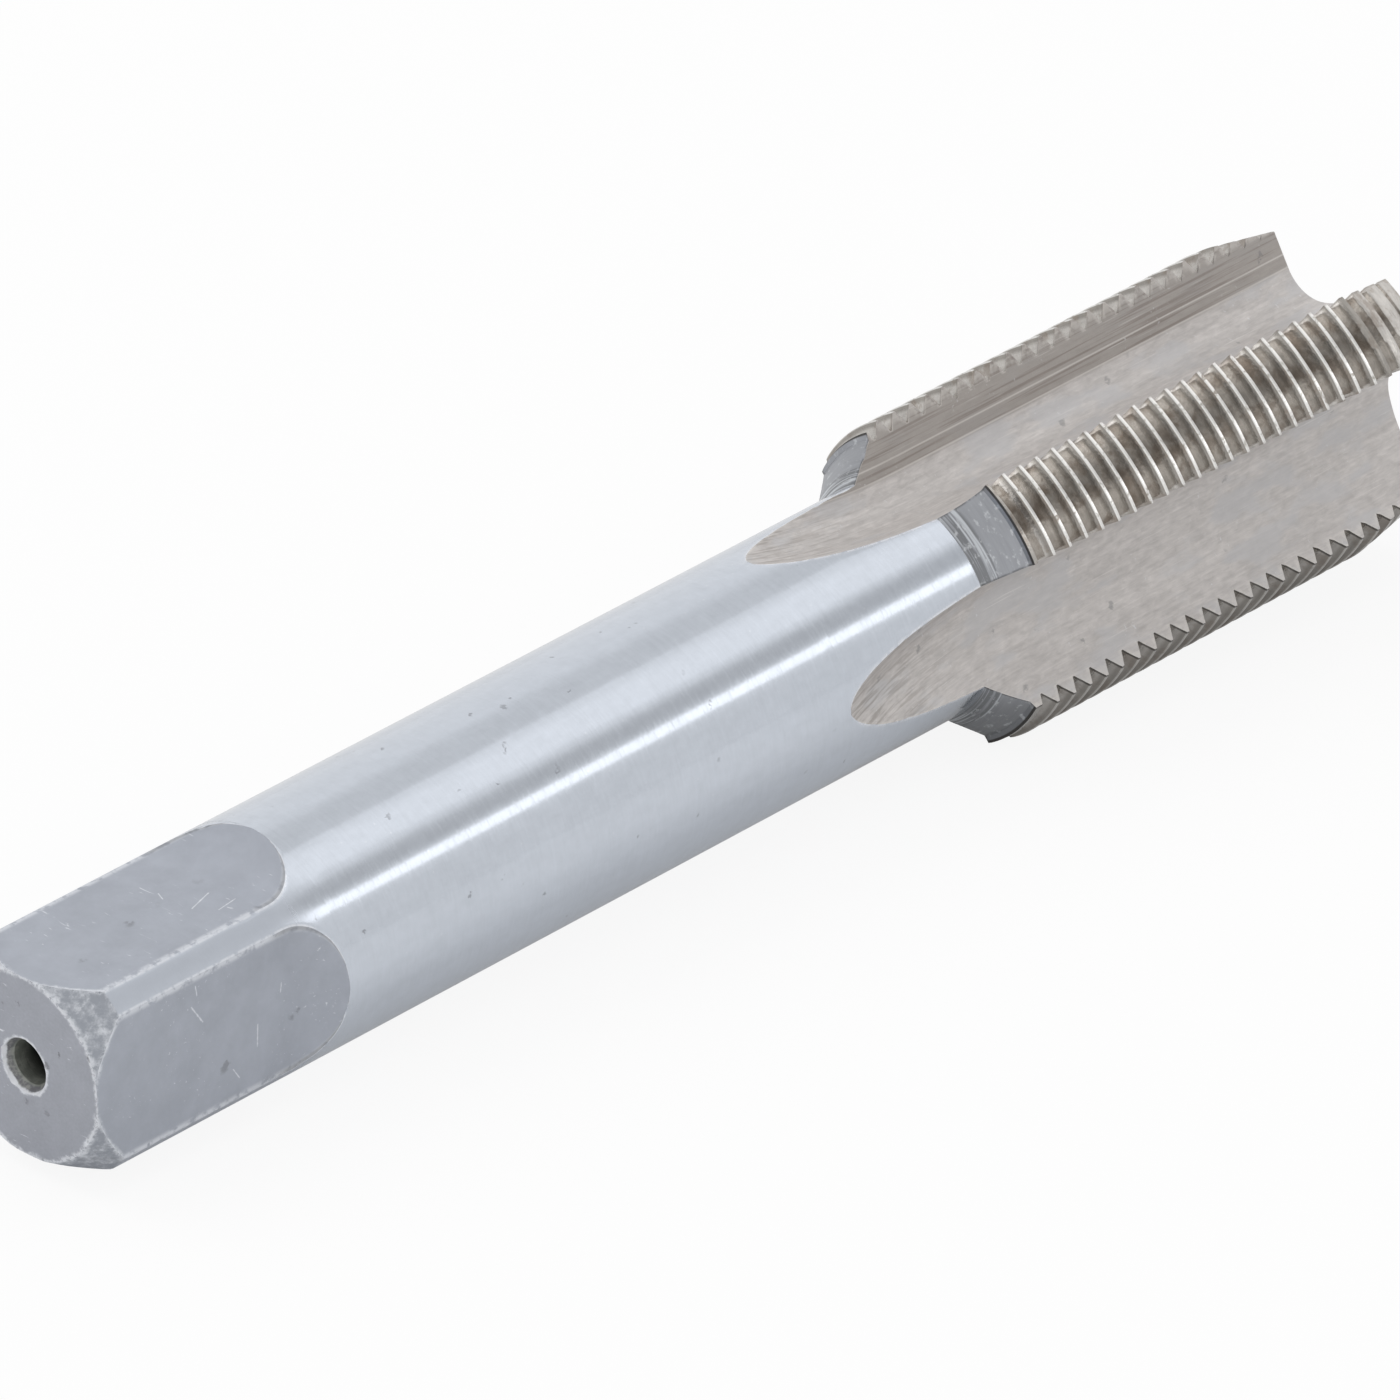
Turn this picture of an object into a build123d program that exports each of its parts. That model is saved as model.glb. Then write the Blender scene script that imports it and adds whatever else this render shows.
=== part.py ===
"""Hand tap for cutting the oversize threads that take M20 x 1.5 wire thread inserts.

The tool is one piece of hardened steel. It is drawn standing on its square end, with the
tool axis on +Z, and is laid down at the end in the attitude it rests in on a flat floor.
Angles are measured about +Z from +X. All lengths are in millimetres.
"""

import os
from math import atan, cos, radians, sin, sqrt, tan

from build123d import *

# Overall and shank
overall_length = 117.1         # 118 nominal, to the blank's tolerance
shank_diameter = 16.0
end_face_diameter = 12.7       # flat left on the driving end by its chamfer
end_chamfer_length = 2.1

# Drive square
square_across_flats = 12.5
square_length = 16.0           # full-depth length of each flat
square_runout_radius = 5.0     # radius of the cutter where each flat runs out

# Centre holes, one in each end
centre_mouth_diameter = 3.7
centre_pilot_diameter = 3.0
centre_pilot_depth = 5.0       # to the end of the parallel part
centre_cone_angle = 60.0       # included angle of the countersink
drill_point_angle = 118.0      # included angle at the bottom of the pilot

# Thread
thread_diameter = 22.0         # over the crests
thread_pitch = 1.5
thread_depth = 1.02
thread_flank_angle = 30.0      # each flank, from the plane square to the axis
crest_flat = 0.19
thread_length = 37.1           # from the cutting end to the collar
lead_length = 5.7              # taper at the cutting end
lead_angle = 10.0

# Shoulder between shank and thread
collar_length = 0.65           # narrow ring before the thread
collar_diameter = 21.3         # a little under the thread
collar_step = 0.5              # height of the square step under the ring's edge
shoulder_angle = 40.5          # cone below the step, from the tool axis

# Flutes and lands
flute_count = 4
land_width_angle = 32.0        # land measured round the crests
core_diameter = 10.2           # solid web left between the flutes
flute_root_radius = 2.8        # arc between cutting face and flute floor
flute_root_sweep = 76.0        # degrees of that arc
flute_full_length = 36.1       # full depth, from the cutting end
wheel_radius = 50.0            # grinding wheel that leaves the run-out
wheel_tilt = 37.0              # plunge direction, from the cutting face into the flute
wheel_sweep = 30.0             # degrees of wheel needed to leave the shank

# Worked out from the above
shank_radius = shank_diameter / 2
thread_radius = thread_diameter / 2
root_radius = thread_radius - thread_depth
half_flats = square_across_flats / 2
outside = thread_diameter      # safely beyond every surface of the blank
overshoot = 1.0                # how far a cutting tool passes an end face

flat_depth = shank_radius - half_flats
runout_end = square_length + sqrt(flat_depth * (2 * square_runout_radius - flat_depth))

thread_start = overall_length - thread_length
shoulder_top = thread_start - collar_length
collar_radius = collar_diameter / 2
collar_rise = thread_radius - collar_radius     # 45 degree bevel from the ring up to the thread
step_radius = collar_radius - collar_step
shoulder_foot = shoulder_top - (step_radius - shank_radius) / tan(radians(shoulder_angle))
lead_start = overall_length - lead_length
nose_radius = thread_radius - lead_length * tan(radians(lead_angle))

land_pitch = 360 / flute_count
first_land = land_pitch / 2                     # lands stand over the corners of the square
cutting_face = first_land + land_width_angle / 2
heel = land_pitch - land_width_angle            # from one land's cutting face to the next heel


def turned_blank():
    """Shank, shoulder, thread cylinder and lead taper, as turned."""
    with BuildSketch(Plane.XZ) as half:
        with BuildLine():
            Polyline(
                (0, 0),
                (end_face_diameter / 2, 0),
                (shank_radius, end_chamfer_length),
                (shank_radius, shoulder_foot),
                (step_radius, shoulder_top),
                (collar_radius, shoulder_top),
                (collar_radius, thread_start),
                (thread_radius, thread_start + collar_rise),
                (thread_radius, lead_start),
                (nose_radius, overall_length),
                (0, overall_length),
                close=True,
            )
        make_face()
    return revolve(half.sketch, axis=Axis.Z)


def centre_hole():
    """Countersunk centre drilled from z = 0 upwards."""
    mouth = centre_mouth_diameter / 2
    pilot = centre_pilot_diameter / 2
    cone_depth = (mouth - pilot) / tan(radians(centre_cone_angle / 2))
    point_depth = pilot / tan(radians(drill_point_angle / 2))
    with BuildSketch(Plane.XZ) as half:
        with BuildLine():
            Polyline(
                (0, -overshoot),
                (mouth, -overshoot),
                (mouth, 0),
                (pilot, cone_depth),
                (pilot, centre_pilot_depth),
                (0, centre_pilot_depth + point_depth),
                close=True,
            )
        make_face()
    return revolve(half.sketch, axis=Axis.Z)


def flat_cutter():
    """Stock removed for one flat of the square, with its curved run-out into the shank."""
    far = square_length + square_runout_radius
    with BuildSketch(Plane.XZ) as side:
        with BuildLine():
            bed = Line((half_flats, -overshoot), (half_flats, square_length))
            rise = RadiusArc(bed @ 1, (half_flats + square_runout_radius, far), square_runout_radius)
            Polyline(rise @ 1, (outside, far), (outside, -overshoot), bed @ 0)
        make_face()
    return extrude(side.sketch, amount=shank_diameter, both=True)


def flute_profile(plane):
    """Section of the grinding wheel that forms one flute.

    The cutting face lies on the plane's local X axis and the flute is on its +Y side: a
    straight cutting face, the root arc, then a wide arc up to the heel of the next land.
    Also returns the centre of the root arc.
    """
    centre_x = sqrt((core_diameter / 2 + flute_root_radius) ** 2 - flute_root_radius**2)
    centre = Vector(centre_x, flute_root_radius)
    heel_edge = Vector(thread_radius, 0).rotate(Axis.Z, heel)
    with BuildSketch(plane) as section:
        with BuildLine():
            face = Line((outside, 0), (centre_x, 0))
            root = CenterArc(centre, flute_root_radius, -90, -flute_root_sweep)
            floor = TangentArc(root @ 1, heel_edge, tangent=root % 1)
            relief = Line(floor @ 1, floor @ 1 + (floor % 1) * thread_radius)
            Polyline(relief @ 1, (outside, (relief @ 1).Y), face @ 0)
        make_face()
    return section.sketch, centre


def flute_cutter():
    """One flute: straight from the cutting end, then lifting out of the shank with the wheel."""
    wheel_plane_z = overall_length - flute_full_length
    plane = Plane((0, 0, wheel_plane_z), x_dir=(1, 0, 0), z_dir=(0, 0, 1))
    profile, root_centre = flute_profile(plane)
    straight = extrude(profile, amount=flute_full_length + overshoot)
    lift = Vector(1, 0).rotate(Axis.Z, wheel_tilt)
    hub = root_centre + lift * (wheel_radius - flute_root_radius)
    hub_axis = Axis((hub.X, hub.Y, wheel_plane_z), (lift.Y, -lift.X, 0))
    runout = revolve(profile, axis=hub_axis, revolution_arc=wheel_sweep)
    return straight + runout


def thread_comb():
    """All the thread grooves of one land, joined outside the blank, as one helical cutter."""
    sector = (land_width_angle + heel / 3)          # the ends fall in the open flutes
    rim = thread_radius + 0.8 * crest_flat / 2 / tan(radians(thread_flank_angle))
    back = rim + thread_depth
    half_root = thread_pitch / 2 - crest_flat / 2 - thread_depth * tan(radians(thread_flank_angle))
    half_rim = half_root + (rim - root_radius) * tan(radians(thread_flank_angle))
    first_groove = thread_start - 0.3 * thread_pitch
    grooves = int((thread_length + thread_pitch) / thread_pitch) + 1
    outline = [(back, first_groove - half_rim)]
    for turn in range(grooves):
        groove = first_groove + turn * thread_pitch
        outline += [
            (rim, groove - half_rim),
            (root_radius, groove - half_root),
            (root_radius, groove + half_root),
            (rim, groove + half_rim),
        ]
    outline.append((back, first_groove + (grooves - 1) * thread_pitch + half_rim))
    with BuildSketch(Plane.XZ) as comb:
        with BuildLine():
            Polyline(*outline, close=True)
        make_face()
    path = Helix(thread_pitch, thread_pitch * sector / 360, thread_radius)
    swept = sweep(comb.sketch, path=path, is_frenet=True)
    return swept.rotate(Axis.Z, -sector / 2).translate((0, 0, -thread_pitch * sector / 720))


def build_tap():
    tap = turned_blank()
    flat = flat_cutter()
    flute = flute_cutter()
    comb = thread_comb()
    for corner in range(4):
        tap -= flat.rotate(Axis.Z, corner * 90)
    for land in range(flute_count):
        tap -= flute.rotate(Axis.Z, cutting_face + land * land_pitch)
    for land in range(flute_count):
        turn = first_land + land * land_pitch
        tap -= comb.rotate(Axis.Z, turn).translate((0, 0, thread_pitch * turn / 360))
    hole = centre_hole()
    tap -= hole
    tap -= hole.rotate(Axis.X, 180).translate((0, 0, overall_length))
    return tap


def lay_down(tap):
    """Rest the tap on two lands and the shank, cutting end towards +X.

    The lands stand out further than the shank, so the axis slopes up towards the cutting end.
    It touches the floor at the first full crests and where one flat has run out into the
    shank.
    The origin is on the floor, under the middle of the tool.
    """
    land_drop = thread_radius * cos(radians(heel / 2))
    first_crest = thread_start + thread_pitch
    slope = atan((land_drop - shank_radius) / (first_crest - runout_end))
    attitude = Plane((0, 0, 0), x_dir=(0, 1, 0), z_dir=(cos(slope), 0, sin(slope)))
    laid = attitude.location * tap
    box = laid.bounding_box()
    return Pos(-box.center().X, -box.center().Y, -box.min.Z) * laid


os.makedirs("parts", exist_ok=True)
export_step(lay_down(build_tap()), "parts/tap.step")
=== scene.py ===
"""Thread tap, dressed: ground high speed steel with a milled square, four flutes and a cut thread.

The tool's surface is built in its own standing frame, in millimetres, with the tool axis on Z
and angles measured about Z from X. It is then laid down in the attitude and place of the
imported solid, which it replaces. Everything in Blender is in metres.
"""

from math import acos, atan, atan2, ceil, cos, degrees, pi, radians, sin, sqrt, tan

import bpy
import numpy as np
from mathutils import Matrix, Vector, geometry, noise


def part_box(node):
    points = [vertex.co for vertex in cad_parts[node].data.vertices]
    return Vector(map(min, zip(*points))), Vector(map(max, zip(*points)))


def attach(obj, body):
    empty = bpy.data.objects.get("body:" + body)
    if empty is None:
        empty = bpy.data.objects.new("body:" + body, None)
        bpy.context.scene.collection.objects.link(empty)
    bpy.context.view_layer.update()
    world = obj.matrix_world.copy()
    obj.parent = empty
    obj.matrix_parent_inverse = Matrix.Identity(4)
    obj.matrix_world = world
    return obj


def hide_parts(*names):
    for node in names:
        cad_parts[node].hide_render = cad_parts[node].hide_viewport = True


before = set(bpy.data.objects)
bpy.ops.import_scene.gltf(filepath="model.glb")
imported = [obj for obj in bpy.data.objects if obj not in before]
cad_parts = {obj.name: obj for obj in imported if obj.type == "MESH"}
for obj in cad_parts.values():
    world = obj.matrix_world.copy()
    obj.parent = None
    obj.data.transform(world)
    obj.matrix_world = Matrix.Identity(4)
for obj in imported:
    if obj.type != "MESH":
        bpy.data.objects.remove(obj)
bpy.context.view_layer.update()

MM = 0.001

# Overall and shank
overall_length = 117.1
shank_radius = 8.0
end_face_radius = 6.35
end_chamfer_length = 2.1

# Drive square
half_flats = 6.25
square_length = 16.0
square_runout_radius = 5.0

# Centre holes
mouth_radius = 1.85
pilot_radius = 1.5
pilot_depth = 5.0
centre_cone_angle = 60.0
drill_point_angle = 118.0

# Thread
thread_radius = 11.0
thread_pitch = 1.5
thread_depth = 1.02
flank_slope = tan(radians(30.0))
crest_flat = 0.19
thread_length = 37.1
lead_length = 5.7
lead_angle = 10.0

# Shoulder
collar_length = 0.65
collar_radius = 10.65
collar_step = 0.5
shoulder_angle = 40.5

# Flutes and lands
flute_count = 4
land_width = 32.0
core_radius = 5.1
flute_root_radius = 2.8
flute_root_sweep = 76.0
flute_full_length = 36.1
wheel_radius = 50.0
wheel_tilt = 37.0

# Worked out from the above
root_radius = thread_radius - thread_depth
half_root = thread_pitch / 2 - crest_flat / 2 - thread_depth * flank_slope
thread_start = overall_length - thread_length
first_groove = thread_start - 0.3 * thread_pitch
collar_top = thread_start + thread_radius - collar_radius
shoulder_top = thread_start - collar_length
step_radius = collar_radius - collar_step
shoulder_foot = shoulder_top - (step_radius - shank_radius) / tan(radians(shoulder_angle))
lead_start = overall_length - lead_length
nose_radius = thread_radius - lead_length * tan(radians(lead_angle))
flat_depth = shank_radius - half_flats
flat_end = square_length + sqrt(flat_depth * (2 * square_runout_radius - flat_depth))
land_pitch = 360 / flute_count
heel = land_pitch - land_width
wheel_plane = overall_length - flute_full_length

# The tool lies on its first full crests and on the shank where one flat has run out.
land_drop = thread_radius * cos(radians(heel / 2))
slope = atan((land_drop - shank_radius) / (thread_start + thread_pitch - flat_end))

# Breaks of the edges
edge_break = 0.03  # along the turned edges
mouth_break = 0.02  # round the mouth of a centre hole
step_rise = 0.02  # axial width that the square step is drawn in
crest_break = 0.012  # half the width of the edge of a crest

# Columns of the mesh
skin_columns = 26  # across each quarter of the turned surface
flute_columns = 38
flat_columns = 18
hole_sides = 72
edge_column = 0.3  # width of the narrow columns beside an edge, in plain ones
rim_band = 0.14  # from a land's edge to the first column of the flute
shallow_band = 0.3  # the same as a share of the depth, where a flute is shallow

# Rows of the mesh, by their spacing or their number
chamfer_spacing = 0.3
square_spacing = 0.7
runout_rows = 16  # along the curved end of a flat
shank_spacing = 0.9
tip_rows = 14  # along the first part of a flute
tip_length = 4.0
trough_spacing = 0.42  # from there to the shoulder
cone_spacing = 0.13
ramp_rows = 8  # while the rows lean over to the helix
ramp_height = 0.35
ramp_margin = 0.1
crest_spacing = 0.2
nose_spacing = 0.05
least_spacing = 0.02
flank_rows = 4

# Samples along a flute's section
profile_start = 13.0  # radius, outside the blank, where its cutting face begins
relief_length = 2.0  # straight part past the heel
line_samples = 160
arc_samples = 120
relief_samples = 60
profile_samples = 700

# Wear of the true edges
worn_width = 0.25  # how far beside an edge it reaches
even_wear = 0.016  # how much is lost all along
ragged_wear = 0.035  # and where it is ragged, at most about
nick_wear = 0.28  # and in a nick, for each unit of noise over the level
nick_level = 0.28

crease_angle = 28.0  # degrees, above which an edge shows sharp


# ---- the turned and cut surfaces

blank_z = (0.0, edge_break, end_chamfer_length, shoulder_foot, shoulder_top,
           shoulder_top + step_rise, shoulder_top + step_rise + edge_break, thread_start,
           collar_top, lead_start, overall_length - edge_break, overall_length)
blank_r = (end_face_radius - edge_break,
           end_face_radius + (shank_radius - end_face_radius) * edge_break / end_chamfer_length,
           shank_radius, shank_radius, step_radius,
           collar_radius - edge_break, collar_radius, collar_radius,
           thread_radius, thread_radius, nose_radius + 0.2 * edge_break, nose_radius - edge_break)


def blank_radius(z):
    return np.interp(z, blank_z, blank_r)


def surface_radius(z, angle):
    """Radius of the blank with the thread grooves cut in it."""
    along = np.asarray(z) - first_groove - thread_pitch * np.asarray(angle) / 360
    turn = np.maximum(np.round(along / thread_pitch), 0)
    off = np.abs(along - turn * thread_pitch)
    groove = root_radius + np.maximum(off - half_root, 0) / flank_slope
    return np.minimum(blank_radius(z), groove)


def flute_profile():
    """Points of one flute's section: x along the cutting face, y into the flute."""
    reach = core_radius + flute_root_radius
    cx, cy = sqrt(reach**2 - flute_root_radius**2), flute_root_radius
    sweep = np.radians(-90 - np.linspace(0, flute_root_sweep, arc_samples))
    face = np.stack([np.linspace(profile_start, cx, line_samples), np.zeros(line_samples)], 1)
    root = np.stack([cx + flute_root_radius * np.cos(sweep), cy + flute_root_radius * np.sin(sweep)], 1)
    tangent = np.array([sin(sweep[-1]), -cos(sweep[-1])])
    normal = np.array([-tangent[1], tangent[0]])
    heel_edge = thread_radius * np.array([cos(radians(heel)), sin(radians(heel))])
    chord = heel_edge - root[-1]
    radius = chord @ chord / (2 * chord @ normal)
    centre = root[-1] + normal * radius
    turn = 2 * np.arctan2(chord @ normal, chord @ tangent)
    swing = np.linspace(0, turn, line_samples)[:, None]
    floor = centre - normal * radius * np.cos(swing) + tangent * radius * np.sin(swing)
    leave = tangent * cos(turn) + normal * sin(turn)
    relief = floor[-1] + leave * np.linspace(0, relief_length, relief_samples)[:, None]
    points = np.concatenate([face[:-1], root[:-1], floor[:-1], relief])
    run = np.concatenate([[0], np.cumsum(np.linalg.norm(np.diff(points, axis=0), axis=1))])
    even = np.linspace(0, run[-1], profile_samples)
    return np.stack([np.interp(even, run, points[:, i]) for i in (0, 1)], 1), even, np.array([cx, cy])


flute_points, flute_run, root_centre = flute_profile()
lift = np.array([cos(radians(wheel_tilt)), sin(radians(wheel_tilt))])
hub = root_centre + lift * (wheel_radius - flute_root_radius)


class Flute:
    """One flute's section at one height: each sample's radius, and angle from the cutting face."""

    def __init__(self, z):
        rel = flute_points - hub
        deep = rel @ lift
        aside = rel - np.outer(deep, lift)
        fall = max(wheel_plane - z, 0.0)
        points = hub + aside - np.outer(np.sqrt(deep**2 - fall**2), lift)
        self.r = np.linalg.norm(points, axis=1)
        self.a = np.degrees(np.arctan2(points[:, 1], points[:, 0]))
        self.low = int(np.argmin(self.r))
        self.depth = float(self.r[self.low])

    def run_at(self, radius, side):
        """Distance along the section to a radius, on the cutting side (0) or the heel side (1)."""
        low = self.low
        if side == 0:
            return float(np.interp(radius, self.r[low::-1], flute_run[low::-1]))
        return float(np.interp(radius, self.r[low:], flute_run[low:]))

    def at(self, run):
        """Radius and angle at a distance along the section."""
        return np.interp(run, flute_run, self.r), np.interp(run, flute_run, self.a)


def find_tip():
    """Height at which a flute's run-out leaves the shank, and the angle it leaves at."""
    halvings = 40
    low, high = wheel_plane - wheel_radius / 2, wheel_plane
    for _ in range(halvings):
        middle = (low + high) / 2
        if Flute(middle).depth < shank_radius:
            high = middle
        else:
            low = middle
    section = Flute(high)
    return high, float(section.a[section.low])


tip_z, tip_angle = find_tip()


def flat_height(z):
    """Distance from the axis to a flat, which curves away where it runs out."""
    rise = np.clip(z - square_length, 0, flat_end - square_length)
    return half_flats + square_runout_radius - np.sqrt(square_runout_radius**2 - rise**2)


# ---- mesh

class Skin:
    """Vertices, faces, zones, and the two numbers at each vertex that the materials read."""

    def __init__(self):
        self.points, self.faces, self.zones = [], [], []
        self.edge, self.across = [], []

    def add(self, x, y, z, edge=0.0, across=0.0):
        self.points.append((x, y, z))
        self.edge.append(edge)
        self.across.append(across)
        return len(self.points) - 1

    def polar(self, r, angle, z, edge=0.0, across=0.0):
        return self.add(r * cos(radians(angle)), r * sin(radians(angle)), z, edge, across)

    def face(self, corners, zone):
        corners = [c for i, c in enumerate(corners) if c != corners[i - 1]]
        if len(set(corners)) == len(corners) and len(corners) > 2:
            self.faces.append(tuple(corners))
            self.zones.append(zone)

    def quads(self, rows, zone_of):
        """Faces between rows of vertices, zone_of(row number) naming each band."""
        for j in range(len(rows) - 1):
            below, above = rows[j], rows[j + 1]
            for i in range(len(below) - 1):
                self.face((below[i], below[i + 1], above[i + 1], above[i]), zone_of(j))

    def zip(self, left, right, zone, flip=False):
        """Triangles between two chains of vertices that both climb in height."""
        i = j = 0
        height = lambda v: self.points[v][2]
        while i < len(left) - 1 or j < len(right) - 1:
            step_left = j == len(right) - 1 or (
                i < len(left) - 1 and height(left[i + 1]) <= height(right[j + 1]))
            third = left[i + 1] if step_left else right[j + 1]
            corners = (left[i], right[j], third)
            self.face(corners[::-1] if flip else corners, zone)
            i, j = (i + 1, j) if step_left else (i, j + 1)


# Zones of the surface, in the order of the materials
END, FLATS, SHANK, SHOULDER, THREAD, FLUTE, HOLE, NOSE = range(8)


def steps(low, high, spacing):
    """Even heights from low up to but not including high."""
    count = max(1, ceil((high - low) / spacing))
    return [low + (high - low) * i / count for i in range(count)]


def plain_rows():
    """Heights of the rows that lie square to the axis, from the square end to the collar."""
    rows = [0.0] + steps(edge_break, end_chamfer_length, chamfer_spacing)
    rows += steps(end_chamfer_length, square_length, square_spacing)
    ease = flat_end - square_length
    rows += [square_length + ease * (1 - (1 - i / runout_rows) ** 2) for i in range(runout_rows)]
    rows += steps(flat_end, tip_z, shank_spacing)
    rows += [tip_z + tip_length * (i / tip_rows) ** 2 for i in range(tip_rows)]
    rows += steps(tip_z + tip_length, shoulder_foot, trough_spacing)
    rows += steps(shoulder_foot, shoulder_top, cone_spacing)
    rows += [shoulder_top, shoulder_top + step_rise, shoulder_top + step_rise + edge_break]
    return rows


plain = plain_rows()


def row_at(z):
    """Number of the plain row nearest to a height."""
    return min(range(len(plain)), key=lambda i: abs(plain[i] - z))


flat_row = row_at(flat_end)
tip_row = row_at(tip_z)
foot_row = row_at(shoulder_foot)


def crest_edges(groove):
    """How far below and above the middle of a groove its flanks reach the blank."""
    rounds = 8
    edges = []
    for side in (-1, 1):
        off = half_root + thread_depth * flank_slope
        for _ in range(rounds):
            rim = float(blank_radius(groove + side * off))
            off = half_root + (rim - root_radius) * flank_slope
        edges.append(max(off, half_root + least_spacing))
    return edges


def land_rows(land):
    """(height at the land's middle, share of the helix's slope) for each row of one land."""
    rows = [(z, 0.0) for z in plain]
    start = plain[-1]
    rows += [(start + ramp_height * i / ramp_rows, i / ramp_rows) for i in range(1, ramp_rows + 1)]
    middle = first_groove + thread_pitch * land / 360
    end = overall_length - ramp_height - ramp_margin
    turns = int((overall_length - middle) / thread_pitch) + 1
    last_edge = start + ramp_height
    marks = []
    for turn in range(turns + 1):
        groove = middle + turn * thread_pitch
        below, above = crest_edges(groove)
        low, high = groove - below, groove + above
        inner = range(1, flank_rows)
        if low - least_spacing > last_edge:
            marks += steps(last_edge, low - crest_break, crest_spacing)[1:]
        marks += [low - crest_break, low + crest_break]
        marks += [groove - half_root - (below - half_root) * k / flank_rows for k in inner[::-1]]
        marks += [groove - half_root, groove + half_root]
        marks += [groove + half_root + (above - half_root) * k / flank_rows for k in inner]
        marks += [high - crest_break, high + crest_break]
        last_edge = high + crest_break
    rows += [(z, 1.0) for z in marks if start + ramp_height + least_spacing < z < end]
    top = rows[-1][0]
    climb = overall_length - edge_break - top
    count = ceil(climb / nose_spacing)
    rows += [(top + climb * i / count, 1 - i / count) for i in range(1, count + 1)]
    rows.append((overall_length, 0.0))
    return rows


def column_shares(count):
    """Shares across a patch, with two close columns at both edges to carry their wear."""
    inner = np.linspace(0, 1, count - 3)[1:-1]
    second = edge_column / (count - 4)
    first = second * 0.35
    return np.concatenate([[0, first, second], inner, [1 - second, 1 - first, 1]])


flutes_seen = {}


def flute_at(z):
    """The flute's section at a height, worked out once."""
    key = round(max(z, 0) if z < wheel_plane else wheel_plane, 4)
    if key not in flutes_seen:
        flutes_seen[key] = Flute(key)
    return flutes_seen[key]


def sector_edge(land, z_middle, share, side):
    """Angle and radius where a row of one land meets what bounds it on one side.

    side is -1 for the heel side and +1 for the cutting side.
    """
    if z_middle < flat_end:
        r = float(blank_radius(z_middle))
        half = land_pitch / 2 - degrees(acos(min(1.0, float(flat_height(z_middle)) / r)))
        return land + side * half, r
    if z_middle < tip_z:
        t = (z_middle - flat_end) / (tip_z - flat_end)
        centre = land_width / 2 + tip_angle - (0 if side > 0 else land_pitch)
        return land + side * land_pitch / 2 * (1 - t) + centre * t, shank_radius
    rounds = 6
    angle = land + side * land_width / 2
    for _ in range(rounds):
        z = z_middle + share * thread_pitch * (angle - land) / 360
        r = float(surface_radius(z, angle))
        section = flute_at(z)
        if section.depth >= r:
            rel = tip_angle
        else:
            rel = float(section.at(section.run_at(r, 0 if side > 0 else 1))[1])
        angle = land + land_width / 2 + rel - (0 if side > 0 else land_pitch)
    return angle, r


def edge_wear(near):
    """How much of an edge's wear reaches a point at a distance from it."""
    return max(0.0, 1 - near / worn_width)


def add_lands(skin):
    """The turned surface, in four quarters that join where the shank is whole."""
    shares = column_shares(skin_columns)
    lands, shared = [], {}
    for quarter in range(flute_count):
        land = land_pitch / 2 + quarter * land_pitch
        rows = []
        for j, (z_middle, share) in enumerate(land_rows(land)):
            low, low_radius = sector_edge(land, z_middle, share, -1)
            high, high_radius = sector_edge(land, z_middle, share, 1)
            row = []
            whole = flat_row <= j <= tip_row
            for k, s in enumerate(shares):
                angle = low + (high - low) * s
                z = z_middle + share * thread_pitch * (angle - land) / 360
                rim = k in (0, len(shares) - 1)
                key = (j, round(angle % 360, 3) % 360) if whole and rim else None
                if key and key in shared:
                    row.append(shared[key])
                    continue
                edge_radius = high_radius if k else low_radius
                r = edge_radius if rim else float(surface_radius(z, angle))
                near = min(s, 1 - s) * radians(high - low) * r
                edge = 0.0 if whole else edge_wear(near)
                run = flute_at(z).run_at(r, 0 if k else 1) if rim and j > tip_row else s
                row.append(skin.polar(r, angle, z, edge, run))
                if key:
                    shared[key] = row[-1]
            rows.append(row)
        skin.quads(rows, lambda j: SHANK if j < foot_row else SHOULDER if j < len(plain) - 1 else THREAD)
        lands.append(rows)
    return lands


def add_flats(skin, lands):
    """The flats, each between two neighbouring quarters, closing at the tip of its run-out."""
    grids = []
    for quarter in range(flute_count):
        before, after = lands[quarter - 1], lands[quarter]
        rows = []
        for j in range(flat_row):
            left, right = before[j][-1], after[j][0]
            a, b = np.array(skin.points[left]), np.array(skin.points[right])
            row = [left]
            for s in np.linspace(0, 1, flat_columns)[1:-1]:
                near = min(s, 1 - s) * np.linalg.norm(b - a)
                row.append(skin.add(*(a + (b - a) * s), edge_wear(near), s))
            rows.append(row + [right])
        rows.append([before[flat_row][-1]] * flat_columns)
        skin.quads(rows, lambda j: FLATS)
        grids.append(rows)
    return grids


def flute_rows():
    """Heights of the rows inside a flute, closer where it is shallow and beside the shoulder."""
    first_length, first_rows = 3.0, 12
    shoulder = shoulder_foot - 0.5
    heights = [tip_z + first_length * (i / first_rows) ** 2 for i in range(1, first_rows)]
    heights += steps(tip_z + first_length, shoulder, 0.45)
    heights += steps(shoulder, wheel_plane, 0.2)
    return heights + steps(wheel_plane, overall_length, 0.5) + [overall_length]


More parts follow.
